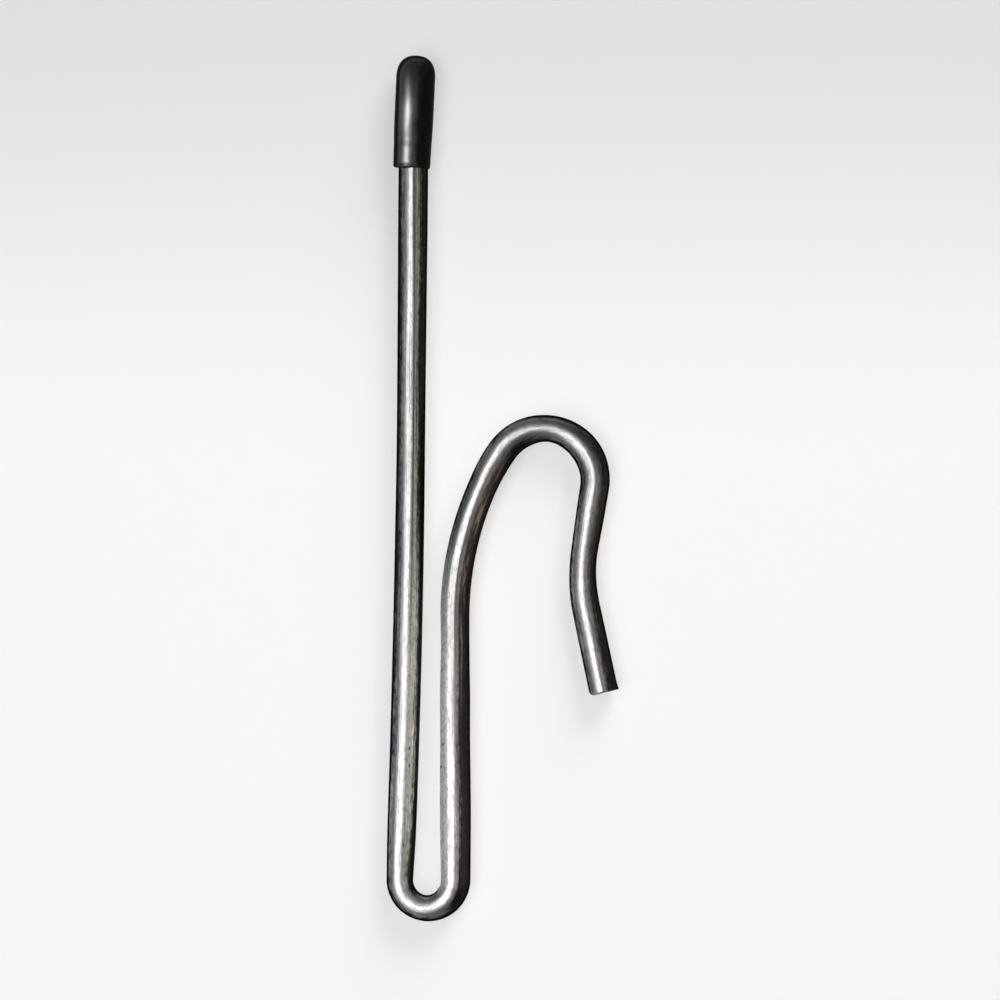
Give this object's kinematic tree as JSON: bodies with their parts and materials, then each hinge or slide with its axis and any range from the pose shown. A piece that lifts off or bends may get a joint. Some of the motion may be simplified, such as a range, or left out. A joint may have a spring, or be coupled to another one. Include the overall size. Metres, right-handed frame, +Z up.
{
  "type": "curtain glider hook",
  "caption": "Bent steel wire curtain hook: leg and stem grip the curtain heading, the crown hangs in a track glider's eye, and a soft cap covers the cut end of the leg.",
  "frame": {"origin": "on the floor under the middle of the hook's outline, as it lies on its side", "axes": "+X from the leg towards the free end, +Y up the stem towards the capped end of the leg, +Z up from the floor"},
  "size_m": [0.0186, 0.0692, 0.0032],
  "materials": {
    "wire": "bright drawn steel wire with fine draw lines, a little tarnished",
    "cap": "soft black vinyl, semi-gloss"
  },
  "bodies": {
    "root": {"hook_wire": "wire", "leg_cap": "cap"}
  },
  "joints": []
}
